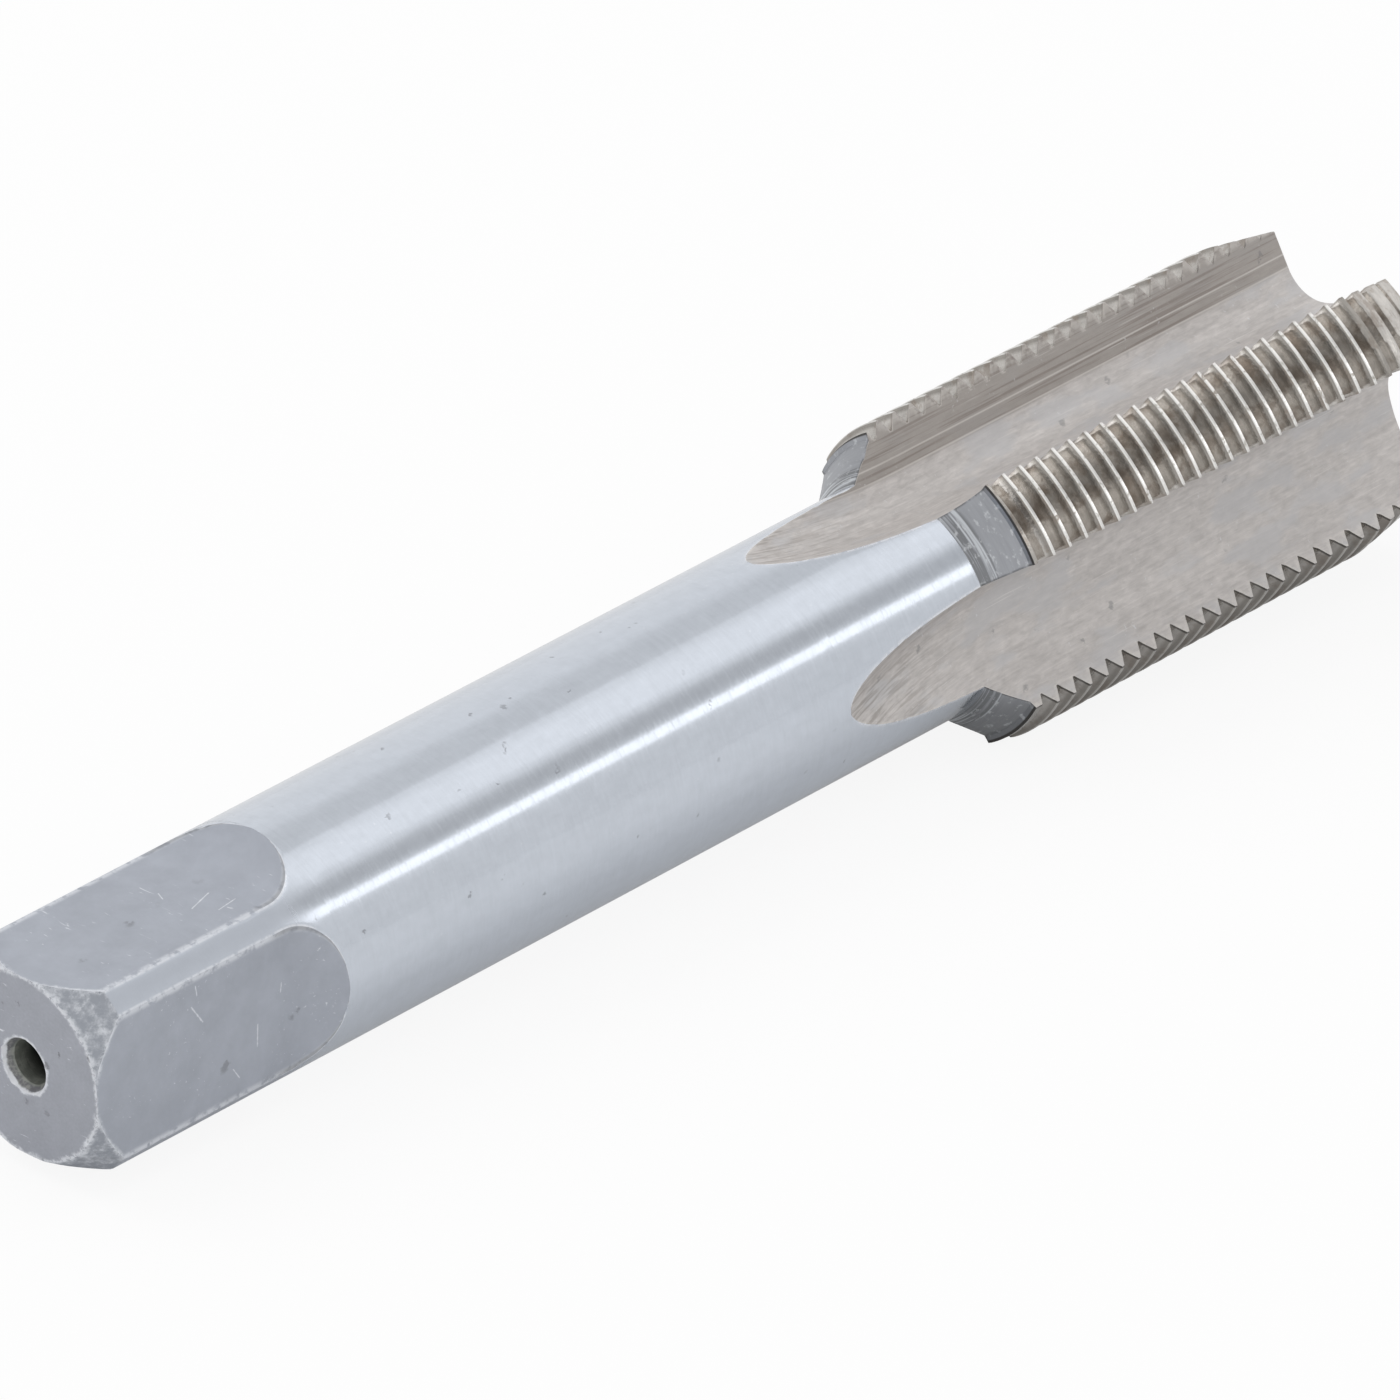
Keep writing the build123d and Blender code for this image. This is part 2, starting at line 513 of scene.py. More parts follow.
def add_flutes(skin, lands):
    """The flutes, zipped to the lands on both sides. Returns the last row of each."""
    ends = []
    for quarter in range(flute_count):
        before = lands[quarter]  # its cutting edge bounds this flute
        after = lands[(quarter + 1) % flute_count]  # and this land's heel
        cutting = land_pitch / 2 + quarter * land_pitch + land_width / 2
        rows = []
        for z in flute_rows():
            section = flute_at(z)
            rim = min(float(blank_radius(z)), root_radius)
            inner = rim - min(rim_band, shallow_band * (rim - section.depth))
            start, stop = section.run_at(inner, 0), section.run_at(inner, 1)
            row = []
            for s in np.linspace(0, 1, flute_columns):
                run = start + (stop - start) * s
                r, rel = section.at(run)
                row.append(skin.polar(float(r), cutting + float(rel), z, 0.0, run))
            rows.append(row)
        skin.quads(rows, lambda j: FLUTE)
        skin.zip([row[-1] for row in before[tip_row:]], [row[0] for row in rows], FLUTE)
        skin.zip([row[0] for row in after[tip_row:]], [row[-1] for row in rows], FLUTE, flip=True)
        tip = before[tip_row][-1]
        for i in range(flute_columns - 1):
            skin.face((rows[0][i + 1], rows[0][i], tip), FLUTE)
        ends.append(rows[-1])
    return ends


def rim_loops(lands, flat_grids, flute_ends):
    """The outlines of the two end faces, as rings of vertices climbing in angle."""
    driving, cutting = [], []
    for quarter in range(flute_count):
        following = (quarter + 1) % flute_count
        driving += lands[quarter][0][:-1] + flat_grids[following][0][:-1]
        cutting += lands[quarter][-1] + flute_ends[quarter]
    return driving, cutting


def mouth_dent(angle, z_end):
    """How far the bruised mouth of a centre hole has opened at an angle."""
    circle = 1.9
    around = Vector((circle * cos(radians(angle)), circle * sin(radians(angle)), z_end + 4.0))
    return 0.6 * max(0.0, noise.noise(around) + 0.35 * noise.noise(around * 3.0))


def centre_hole(skin, z_end, inward):
    """Countersunk centre with a bruised mouth. Returns the mouth's ring of vertices."""
    cone = (mouth_radius - pilot_radius) / tan(radians(centre_cone_angle / 2))
    point = pilot_radius / tan(radians(drill_point_angle / 2))
    bruise_depth = 0.3
    taper = pilot_radius - mouth_radius
    stations = [(mouth_radius, 0.0), (mouth_radius - mouth_break, edge_break)]
    stations += [(mouth_radius + taper * k / 4, cone * k / 4) for k in (1, 2, 3, 4)]
    stations += [(pilot_radius, cone + (pilot_depth - cone) * k / 12) for k in range(1, 13)]
    stations += [(pilot_radius * (1 - k / 4), pilot_depth + point * k / 4) for k in (1, 2, 3)]
    rings = []
    for r, depth in stations:
        bruised = max(0.0, 1.0 - depth / bruise_depth)
        ring = []
        for i in range(hole_sides):
            angle = 360 * i / hole_sides
            opened = r + bruised * mouth_dent(angle, z_end)
            ring.append(skin.polar(opened, angle, z_end + inward * depth))
        rings.append(ring)
    apex = skin.add(0, 0, z_end + inward * (pilot_depth + point))
    rings.append([apex] * hole_sides)
    for low, high in zip(rings, rings[1:]):
        for i in range(hole_sides):
            k = (i + 1) % hole_sides
            corners = (low[i], low[k], high[k], high[i])
            skin.face(corners if inward < 0 else corners[::-1], HOLE)
    return rings[0]


def cap(skin, outline, mouth, z_end, zone, up):
    """Flat end face between its outline and the mouth of the centre hole."""
    spacing, margin, tolerance = 0.55, 0.3, 1e-7
    ring = outline + mouth
    flat = [Vector(skin.points[v][:2]) for v in ring]
    count = int(2 * thread_radius / spacing)
    corner = Vector((thread_radius, thread_radius))
    for i in range(count):
        for j in range(count):
            p = Vector(((i + 0.5 * (j % 2)) * spacing, j * spacing)) - corner
            nearest = min((p - q).length for q in flat[:len(ring)])
            if nearest > margin and p.length > mouth_radius:
                flat.append(p)
    n, m = len(outline), len(mouth)
    loops = [list(range(n)), list(range(n, n + m))[::-1]]
    places, _, triangles, origins = geometry.delaunay_2d_cdt(flat, [], loops, 1, tolerance)[:4]
    made = []
    for p, origin in zip(places, origins):
        known = [o for o in origin if o < len(ring)]
        made.append(ring[known[0]] if known else skin.add(p[0], p[1], z_end, 0.0, 0.5))
    inside_mouth = set(mouth)
    for triangle in triangles:
        corners = [made[i] for i in triangle]
        middle = sum((places[i] for i in triangle), Vector((0.0, 0.0))) / 3
        opening = mouth_radius + mouth_dent(degrees(atan2(middle.y, middle.x)), z_end)
        if set(corners) <= inside_mouth and middle.length < opening:
            continue
        skin.face(corners if up else corners[::-1], zone)


def closed_skin():
    """The whole surface of the tap, with nothing open."""
    skin = Skin()
    lands = add_lands(skin)
    flat_grids = add_flats(skin, lands)
    flute_ends = add_flutes(skin, lands)
    driving, cutting = rim_loops(lands, flat_grids, flute_ends)
    low_mouth = centre_hole(skin, 0.0, 1)
    high_mouth = centre_hole(skin, overall_length, -1)
    cap(skin, driving, low_mouth, 0.0, END, False)
    cap(skin, cutting, high_mouth, overall_length, NOSE, True)
    return skin


def wear_down(skin):
    """The points with ragged and slightly nicked edges, worn towards the axis."""
    points = np.array(skin.points)
    for v, (x, y, z) in enumerate(skin.points):
        edge = skin.edge[v]
        if edge <= 0:
            continue
        here = Vector((x, y, z))
        rough = max(0.0, noise.noise(here * 2.3) + 0.6 * noise.noise(here * 6.1))
        nick = max(0.0, noise.noise(here * 0.9 + Vector((7.0, 3.0, 1.0))) - nick_level)
        loss = edge * (even_wear + ragged_wear * rough + nick_wear * nick)
        points[v, :2] -= points[v, :2] / sqrt(x * x + y * y) * loss
    return points


def tap_mesh():
    """The worn mesh in metres, still standing, and the same points unworn in millimetres."""
    skin = closed_skin()
    used = sorted({v for f in skin.faces for v in f})
    number = {v: i for i, v in enumerate(used)}
    true_form = np.array(skin.points)[used]
    worn = wear_down(skin)[used]
    mesh = bpy.data.meshes.new("tap_steel")
    faces = [tuple(number[v] for v in f) for f in skin.faces]
    mesh.from_pydata([tuple(p) for p in worn * MM], [], faces)
    mesh.polygons.foreach_set("material_index", skin.zones)
    for name, values in (("edge", skin.edge), ("across", skin.across)):
        layer = mesh.attributes.new(name, "FLOAT", "POINT")
        layer.data.foreach_set("value", [values[v] for v in used])
    mesh.polygons.foreach_set("use_smooth", [True] * len(faces))
    mesh.set_sharp_from_angle(angle=radians(crease_angle))
    mesh.update()
    return mesh, true_form


# Standing frame to laid attitude: the tool's Z leans up a little from the world's X.
attitude = Matrix(((0, -sin(slope), cos(slope)), (1, 0, 0), (0, cos(slope), sin(slope))))


def lay_down(mesh, true_form):
    """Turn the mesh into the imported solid's attitude and centre it in that solid's box.

    Returns where the standing frame's origin has gone.
    """
    low, high = (np.array(corner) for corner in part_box("tap"))
    laid = true_form @ np.array(attitude).T * MM
    moved = (low + high) / 2 - (laid.min(axis=0) + laid.max(axis=0)) / 2
    mesh.transform(Matrix.Translation(moved) @ attitude.to_4x4())
    return Vector(moved)


mesh, true_form = tap_mesh()
origin = lay_down(mesh, true_form)


# ---- materials

# Steel where it is clean, with painted light for the thread's grooves and crests
end_face_grey = (0.395, 0.41, 0.455)
milled_grey = (0.44, 0.465, 0.52)
ground_silver = (0.63, 0.67, 0.735)
corner_silver = (0.495, 0.525, 0.58)
chamfer_grey = (0.355, 0.375, 0.415)
turned_grey = (0.36, 0.37, 0.395)
thread_grey = (0.55, 0.53, 0.495)
painted_groove_light = (0.61, 0.585, 0.555)
painted_crest_highlight = (0.87, 0.86, 0.84)
flute_beige = (0.55, 0.522, 0.506)
flute_bluish = (0.52, 0.515, 0.525)
cutting_face_brown = (0.32, 0.29, 0.265)
hole_grey = (0.15, 0.15, 0.165)
pilot_green = (0.25, 0.265, 0.235)
nose_grey = (0.42, 0.42, 0.43)

# Pale wear
pale_burr = (0.80, 0.82, 0.86)
warm_burr = (0.80, 0.77, 0.73)
pale_line = (0.66, 0.69, 0.72)
pale_fleck = (0.66, 0.68, 0.70)
pale_seam = (0.66, 0.63, 0.60)
bright_streak = (0.74, 0.72, 0.70)
hole_patch = (0.42, 0.43, 0.39)

# Dark wear, stains and dirt, and painted shade
dark_pit = (0.17, 0.17, 0.18)
painted_runout_shade = (0.15, 0.15, 0.155)
painted_shoulder_underside_shade = (0.18, 0.185, 0.19)
dark_line = (0.17, 0.175, 0.18)
painted_collar_shadow = (0.06, 0.055, 0.05)
painted_edge_shade = (0.11, 0.11, 0.11)
painted_flank_shade = (0.32, 0.30, 0.275)
oil_stain = (0.26, 0.21, 0.17)
painted_thread_underside_shade = (0.24, 0.23, 0.22)
brown_edge = (0.24, 0.21, 0.19)
painted_tooth_shade = (0.05, 0.047, 0.043)
brown_stain = (0.19, 0.155, 0.135)
dark_streak = (0.27, 0.24, 0.22)
painted_hole_shade = (0.02, 0.02, 0.02)


class Value:
    """What a node puts out. Arithmetic on it adds nodes to the same tree."""

    def __init__(self, tree, socket):
        self.tree = tree
        self.socket = socket

    def math(self, operation, a, b=0.0):
        return output(self.tree, "Math", {0: a, 1: b}, operation=operation)

    def __add__(self, other):
        return self.math("ADD", self, other)

    def __radd__(self, other):
        return self.math("ADD", other, self)

    def __sub__(self, other):
        return self.math("SUBTRACT", self, other)

    def __rsub__(self, other):
        return self.math("SUBTRACT", other, self)

    def __mul__(self, other):
        return self.math("MULTIPLY", self, other)

    def __abs__(self):
        return self.math("ABSOLUTE", self)

    def between(self, low, high, at_low=0.0, at_high=1.0):
        """at_low up to low and at_high from high on, eased. Low may be the greater of the two."""
        if low > high:
            low, high, at_low, at_high = high, low, at_high, at_low
        ends = {"From Min": low, "From Max": high, "To Min": at_low, "To Max": at_high}
        return output(self.tree, "MapRange", {"Value": self, **ends}, "Result",
                      interpolation_type="SMOOTHSTEP")


def connect(tree, node, inputs):
    """Set a node's inputs, given as numbers, vectors or other nodes' values."""
    for key, value in inputs.items():
        if isinstance(value, Value):
            tree.links.new(value.socket, node.inputs[key])
        else:
            node.inputs[key].default_value = value


def output(tree, kind, inputs=None, result=0, **settings):
    """Add a node and return one of its outputs."""
    node = tree.nodes.new("ShaderNode" + kind)
    for name, setting in settings.items():
        setattr(node, name, setting)
    connect(tree, node, inputs or {})
    return Value(tree, node.outputs[result])


class Shade:
    """A metal and the node tree that varies it, in the tool's own millimetres."""

    def __init__(self, name, color, roughness, metallic=1.0):
        self.material = bpy.data.materials.new(name)
        self.material.use_nodes = True
        self.tree = self.material.node_tree
        self.shader = self.tree.nodes["Principled BSDF"]
        self.shader.inputs["Metallic"].default_value = metallic
        self.rough = roughness
        self.heights = []
        self.color = self.output("RGB")
        self.color.socket.default_value = (*color, 1.0)
        back = attitude.transposed()
        laid = self.output("TexCoord", result="Object")
        self.place = self.mapped(laid, (1 / MM,) * 3, back.to_euler(), -(back @ origin) / MM)

    def output(self, kind, inputs=None, result=0, **settings):
        return output(self.tree, kind, inputs, result, **settings)

    def mapped(self, vector, scale, turn, shift):
        """A vector with each part scaled, then turned, then shifted."""
        inputs = {"Vector": vector, "Scale": scale, "Rotation": turn, "Location": shift}
        return self.output("Mapping", inputs)

    def stretched(self, scale, turn=(0, 0, 0), shift=(0, 0, 0)):
        """The place mapped, with the turn in degrees."""
        return self.mapped(self.place, scale, [radians(a) for a in turn], shift)

    def vector_math(self, operation, a, b, result="Vector"):
        return self.output("VectorMath", {0: a, 1: b}, result, operation=operation)

    def scaled(self, vector, factor):
        return self.output("VectorMath", {0: vector, "Scale": factor}, operation="SCALE")

    def combine(self, x, y, z):
        return self.output("CombineXYZ", {0: x, 1: y, 2: z})

    def attribute(self, name):
        return self.output("Attribute", result="Fac", attribute_name=name)

    def parts(self):
        """x, y and z of the place."""
        x = self.output("SeparateXYZ", {0: self.place})
        return [Value(self.tree, part) for part in x.socket.node.outputs]

    def radius(self):
        x, y, _ = self.parts()
        square = x * x + y * y
        return square.math("SQRT", square)

    def noise(self, scale, detail, roughness=0.5, distortion=0.0, vector=None):
        """Even noise, read at the place unless a vector is given."""
        look = {"Scale": scale, "Detail": detail, "Roughness": roughness, "Distortion": distortion}
        return self.output("TexNoise", {"Vector": vector or self.place, **look}, "Fac")

    def grain(self, scale, detail, roughness=0.5, turn=(0, 0, 0), shift=(0, 0, 0), distortion=0.0):
        """Noise with its own scale along each of the tool's axes."""
        return self.noise(1.0, detail, roughness, distortion, self.stretched(scale, turn, shift))

    def spots(self, vector, scale, size, soft):
        """1 inside scattered spots and 0 outside."""
        cells = self.output("TexVoronoi", {"Vector": vector, "Scale": scale}, "Distance")
        return cells.between(size + soft, size)

    def tint(self, where, color, strength):
        """Colour the metal where the mask says."""
        inputs = {0: where * strength, 6: self.color, 7: (*color, 1.0)}
        self.color = self.output("Mix", inputs, 2, data_type="RGBA")

    def vary(self, amount, spread):
        """Lighten and darken by a value that swings about one half."""
        self.color = self.scaled(self.color, (amount - 0.5) * spread + 1.0)

    def dull(self, where, amount):
        self.rough = self.rough + where * amount

    def relief(self, height, size):
        """Bump, with the height of its swing in millimetres."""
        self.heights.append((height, size))

    def done(self):
        normal = {}
        for height, size in self.heights:
            inputs = {"Strength": 1.0, "Distance": size * MM, "Height": height, **normal}
            normal = {"Normal": self.output("Bump", inputs)}
        connect(self.tree, self.shader, {"Base Color": self.color, "Roughness": self.rough, **normal})
        return self.material


# Heights from the axis between which the tool's underside begins
underside = (-3.0, -6.0)

# Turn in degrees, and shift, that give each set of nicks its own places
nick_sets = (((20, 35, 50), (3, 1, 0)), ((-40, 10, 120), (0, 5, 9)), ((70, -25, 15), (8, 2, 4)))


def scuffed(shade, strength):
    """Scattered small bright nicks."""
    for turn, shift in nick_sets:
        line = shade.grain((0.9, 4.5, 4.5), 2.0, 0.5, turn, shift, 0.6).between(0.68, 0.75)
        patch = shade.grain((0.25, 0.25, 0.25), 1.0, shift=shift).between(0.54, 0.62)
        shade.tint(line * patch, pale_burr, strength)


def pitted(shade, scale, size, strength, shift=(0, 0, 0)):
    """A few small dark pits of uneven outline."""
    jitter = shade.noise(2.5, 2.0)
    moved = shade.stretched((1.0, 1.0, 1.0), shift=shift)
    bent = shade.vector_math("ADD", moved, shade.combine(jitter, jitter, jitter))
    present = shade.noise(0.3, 1.0).between(0.48, 0.58)
    shade.tint(shade.spots(bent, scale, size, size) * present, dark_pit, strength)


def scratch(shade, start, end, width, color, strength):
    """One straight mark from start to end, fading at its sides."""
    start, end = Vector(start), Vector(end)
    reach = end - start
    rel = shade.vector_math("SUBTRACT", shade.place, start)
    share = shade.vector_math("DOT_PRODUCT", rel, reach / reach.length_squared, "Value")
    foot = shade.scaled(reach, shade.output("Clamp", {"Value": share}))
    gap = shade.vector_math("DISTANCE", foot, rel, "Value")
    ragged = shade.noise(3.5, 2.0) * (width * 1.2)
    shade.tint((gap + ragged).between(width * 1.5, width * 0.6), color, strength)


def edge_burr_and_shade(shade, strength, color=pale_burr, reach=0.15):
    """Broken line along the true edges, in the given colour. Pale lines are burrs; the dark line on the
    shoulder is painted shade.
    """
    broken = shade.grain((1.6, 1.6, 1.6), 3.0, 0.6).between(0.34, 0.54)
    mask = shade.attribute("edge").between(reach, 0.8) * broken
    shade.tint(mask, color, strength)
    shade.dull(mask, 0.2)


def wander(shade, swing):
    """Slow unevenness for the outline of a worn band, from 0 to about the swing."""
    return shade.noise(1.0, 4.0, 0.65) * swing


def flakes(shade, scale, low, high):
    """Ragged patches that break up a worn band."""
    return shade.noise(scale, 3.0, 0.7).between(low, high)


def facing_rings(shade, radius, scale, detail):
    """Rings left by a facing cut."""
    return shade.noise(1.0, detail, vector=shade.combine(radius * scale, 0.0, 0.0))


def end_face_steel():
    shade = Shade("end_face_steel", end_face_grey, 0.5, metallic=0.7)
    shade.vary(shade.grain((0.5, 0.5, 0.5), 4.0, 0.6), 0.26)
    shade.vary(shade.grain((5.0, 5.0, 5.0), 3.0), 0.20)
    radius = shade.radius()
    rim = (radius + wander(shade, 0.9)).between(6.42, 6.7)
    shade.tint(rim * flakes(shade, 3.0, 0.34, 0.54), pale_burr, 0.8)
    mouth = (radius - wander(shade, 0.85)).between(1.70, 1.48)
    shade.tint(mouth, pale_burr, 0.8)
    scuffed(shade, 0.8)
    pitted(shade, 0.5, 0.08, 0.6)
    shade.relief(facing_rings(shade, radius, 9.0, 2.0), 0.006)
    shade.relief(shade.noise(3.0, 4.0), 0.02)
    return shade.done()


# Bright nicks in the flats: from one point to another, and how wide.
flat_nicks = (
    ((-half_flats, 1.6, 9.0), (-half_flats, 3.0, 8.1), 0.10),
    ((-half_flats, 3.6, 8.6), (-half_flats, 4.3, 8.5), 0.07),
    ((-half_flats, -0.6, 13.6), (-half_flats, -2.1, 13.5), 0.08),
    ((-half_flats, -2.8, 11.4), (-half_flats, -3.6, 11.9), 0.07),
    ((-half_flats, 0.8, 15.6), (-half_flats, 1.4, 15.7), 0.08),
    ((-1.9, half_flats, 12.6), (-1.3, half_flats, 14.6), 0.08),
    ((0.2, half_flats, 12.2), (0.9, half_flats, 12.5), 0.07),
    ((-3.2, half_flats, 13.6), (-3.0, half_flats, 15.2), 0.07),
    ((half_flats, 2.0, 6.0), (half_flats, 0.7, 8.4), 0.08),
    ((half_flats, -1.5, 12.8), (half_flats, -3.2, 12.3), 0.08),
    ((1.2, -half_flats, 10.0), (-0.6, -half_flats, 11.1), 0.08),
    ((2.4, -half_flats, 5.0), (2.9, -half_flats, 6.8), 0.07),
)


def flat_steel():
    shade = Shade("milled_flat_steel", milled_grey, 0.45, metallic=0.75)
    shade.vary(shade.grain((0.22, 0.22, 0.3), 4.0, 0.6, distortion=0.4), 0.26)
    shade.vary(shade.grain((0.55, 0.55, 0.55), 5.0, 0.7, (20, 30, 40)), 0.24)
    shade.dull(shade.noise(0.6, 3.0), 0.12)
    scuffed(shade, 0.6)
    pitted(shade, 0.32, 0.09, 0.45, (3, 1, 4))
    for start, end, width in flat_nicks:
        scratch(shade, start, end, width, pale_burr, 0.8)
    z = shade.parts()[2]
    runout = shade.attribute("edge").between(0.3, 0.75) * z.between(14.5, 16.0)
    edge_burr_and_shade(shade, 0.75)
    # Painted shade along the flats' edges where they run out.
    shade.tint(runout, painted_runout_shade, 0.4)

    # Where the chamfer cuts a flat its edge is worn pale.
    cone = z * ((shank_radius - end_face_radius) / end_chamfer_length) + end_face_radius
    worn = (cone - shade.radius() + wander(shade, 0.6)).between(0.56, 0.24)
    shade.tint(worn * flakes(shade, 2.6, 0.34, 0.56), pale_burr, 0.8)
    shade.relief(shade.grain((6.0, 6.0, 0.5), 3.0), 0.008)
    shade.relief(shade.noise(2.2, 4.0), 0.015)
    return shade.done()


def shank_steel():
    shade = Shade("ground_shank_steel", ground_silver, 0.12)
    shade.vary(shade.grain((0.12, 0.12, 0.09), 3.0), 0.08)
    rings = shade.grain((0.25, 0.25, 9.0), 4.0, 0.65)
    shade.vary(rings, 0.12)
    shade.vary(shade.grain((0.9, 0.9, 1.6), 4.0, 0.65), 0.12)
    shade.dull(shade.grain((1.2, 1.2, 6.0), 2.0, turn=(6, 8, 0)).between(0.5, 0.7), 0.06)
    pitted(shade, 0.5, 0.05, 0.5)
    pitted(shade, 0.33, 0.05, 0.4, (31, 7, 3))
    specks = shade.stretched((1, 1, 1), shift=(31, 7, 3))
    shade.tint(shade.spots(specks, 0.8, 0.035, 0.03), pale_burr, 0.35)

    # The corners between the flats are duller, with pale burred edges.
    x, y, z = shade.parts()
    strip = z.between(flat_end - 0.2, square_length - 1.0)
    shade.tint(strip, corner_silver, 0.9)
    shade.vary(shade.grain((1.5, 1.5, 0.6), 4.0, 0.6), 0.12)
    shade.dull(strip, 0.28)
    edge_burr_and_shade(shade, 0.85)

    # The end chamfer is speckled, and burred along all of its rims.
    chamfer = z.between(end_chamfer_length + 0.08, end_chamfer_length - 0.08)
    shade.tint(chamfer, chamfer_grey, 0.9)
    shade.dull(chamfer, 0.12)
    shade.tint(chamfer * shade.noise(1.1, 5.0, 0.7).between(0.42, 0.72), pale_burr, 0.75)
    inside = half_flats - x.math("MAXIMUM", abs(x), abs(y))
    flaked = chamfer * flakes(shade, 3.0, 0.36, 0.54)
    for off, reach in ((inside, 0.44), (z, 0.50), (end_chamfer_length - z, 0.4)):
        line = (off + wander(shade, 0.7)).between(reach + 0.12, reach - 0.16)
        shade.tint(line * flaked, pale_burr, 0.75)
    shade.relief(rings, 0.0045)
    shade.relief(shade.grain((0.6, 0.6, 2.2), 2.0), 0.004)
    return shade.done()


def shoulder_steel():
    shade = Shade("turned_shoulder_steel", turned_grey, 0.35, metallic=0.85)
    _, y, z = shade.parts()
    # Painted shade on the underside of the shoulder.
    shade.tint(y.between(*underside), painted_shoulder_underside_shade, 0.55)
    lines = shade.grain((0.3, 0.3, 6.0), 3.0, 0.6)
    shade.vary(lines, 0.35)

    # Rough tool marks round the foot of the cone.
    foot = z.between(shoulder_foot + 1.1, shoulder_foot + 0.9)
    marks = shade.grain((0.2, 0.2, 7.5), 2.0, shift=(0, 0, 3))
    shade.tint(foot * marks.between(0.50, 0.42), dark_line, 0.7)
    shade.tint(foot * marks.between(0.52, 0.60), pale_line, 0.7)
    shade.tint(shade.grain((1.4, 1.4, 3.0), 4.0, 0.65).between(0.56, 0.68), pale_fleck, 0.6)

    # Painted shadow: a dark line under the edge of the collar.
    under = shade.radius().between(collar_radius - 0.24, collar_radius - 0.15)
    shade.tint(z.between(shoulder_top - 0.06, shoulder_top - 0.01) * under, painted_collar_shadow, 0.92)
    # Painted shade as a broken dark line along the shoulder's edges.
    edge_burr_and_shade(shade, 0.55, painted_edge_shade, 0.3)
    shade.relief(lines, 0.012)
    return shade.done()


def thread_steel():
    shade = Shade("cut_thread_steel", thread_grey, 0.12)
    depth = thread_radius - shade.radius()
    # Painted shade on the flanks just below the crests, and painted light deep in the grooves.
    shade.tint(depth.between(0.04, 0.08), painted_flank_shade, 0.9)
    shade.tint(depth.between(0.20, 0.50), painted_groove_light, 0.85)
    smear = shade.grain((0.8, 0.8, 2.4), 4.0, 0.6)
    shade.vary(smear, 0.7)
    shade.vary(shade.grain((0.5, 0.5, 14.0), 2.0), 0.2)
    shade.dull(smear, 0.10)
    shade.tint(shade.noise(0.6, 4.0, 0.65).between(0.48, 0.62), oil_stain, 0.5)
    _, y, z = shade.parts()
    underneath = y.between(*underside)
    # Painted shade on the tool's underside.
    shade.tint(underneath, painted_thread_underside_shade, 0.34)

    # Painted highlight along the crests, mostly left out on the underside.
    whole = shade.noise(1.8, 3.0, 0.7).between(0.34, 0.46)
    crest = depth.between(0.07, 0.045) * whole * z.between(thread_start + 0.2, thread_start + 0.6)
    shade.tint(crest * (1.0 - underneath * 0.8), painted_crest_highlight, 0.9)
    edge_burr_and_shade(shade, 0.3, brown_edge, 0.3)
    # Painted shade along the tooth edges on the underside.
    shade.tint(shade.attribute("edge").between(0.15, 0.6) * underneath, painted_tooth_shade, 0.85)
    shade.relief(shade.grain((0.6, 0.6, 10.0), 3.0), 0.006)
    shade.relief(shade.noise(4.0, 3.0), 0.01)
    return shade.done()


def flute_steel():
    shade = Shade("ground_flute_steel", flute_beige, 0.4, metallic=0.35)
    across = shade.attribute("across")
    z = shade.parts()[2]

    def streaky(scale_across, scale_along, layer, detail, roughness=0.5, distortion=0.0):
        """Noise drawn out along the flute."""
        drawn = shade.combine(across * scale_across, z * scale_along, layer)
        return shade.noise(1.0, detail, roughness, distortion, drawn)

    streaks = streaky(6.0, 0.30, 0.0, 5.0, 0.68, 0.3)
    shade.vary(streaks, 0.42)
    shade.vary(streaky(1.1, 0.08, 3.0, 3.0, 0.6), 0.34)
    shade.vary(streaky(2.2, 0.8, 12.0, 5.0, 0.65, 0.4), 0.70)
    shade.tint(shade.grain((0.5, 0.5, 0.2), 3.0, shift=(5, 5, 5)).between(0.5, 0.62), flute_bluish, 0.6)

    # The cutting face is darker and brownish, with lengthwise stains and two pale seams.
    face = across.between(5.75, 5.35)
    shade.tint(face, cutting_face_brown, 0.75)
    shade.tint(face * streaky(4.5, 0.07, 8.0, 3.0, 0.6).between(0.5, 0.62), brown_stain, 0.5)
    for centre in (4.62, 5.5):
        shade.tint(abs(across - centre).between(0.08, 0.03), pale_seam, 0.6)

    # Bright streaks all over, and dark ones where the flute runs out.
    shade.tint(streaky(9.0, 0.14, 21.0, 2.0).between(0.66, 0.74), bright_streak, 0.45)
    runout = z.between(wheel_plane - 1.0, tip_z + 1.0)
    shade.tint(runout * streaky(5.0, 0.25, 40.0, 4.0, 0.65).between(0.46, 0.62), dark_streak, 0.6)
    pitted(shade, 0.5, 0.07, 0.45)
    scuffed(shade, 0.35)
    edge_burr_and_shade(shade, 0.4, warm_burr)
    shade.relief(streaks, 0.012)
    shade.relief(shade.noise(1.6, 3.0), 0.012)
    return shade.done()


def hole_steel():
    shade = Shade("drilled_centre_steel", hole_grey, 0.42, metallic=0.3)
    z = shade.parts()[2]
    lines = shade.grain((0.4, 0.4, 9.0), 3.0)
    shade.vary(lines, 0.6)
    radius = shade.radius()
    shade.tint(radius.between(1.62, 1.5), pilot_green, 0.9)
    shade.tint(shade.noise(1.4, 4.0, 0.65).between(0.46, 0.62), hole_patch, 0.5)
    # Painted shade deeper inside the centre holes.
    deep = z.math("MINIMUM", z, overall_length - z)
    shade.tint(deep.between(0.9, 2.4), painted_hole_shade, 0.9)
    shade.tint((radius + wander(shade, 0.2)).between(1.84, 1.92), pale_burr, 0.8)
    shade.relief(lines, 0.02)
    return shade.done()


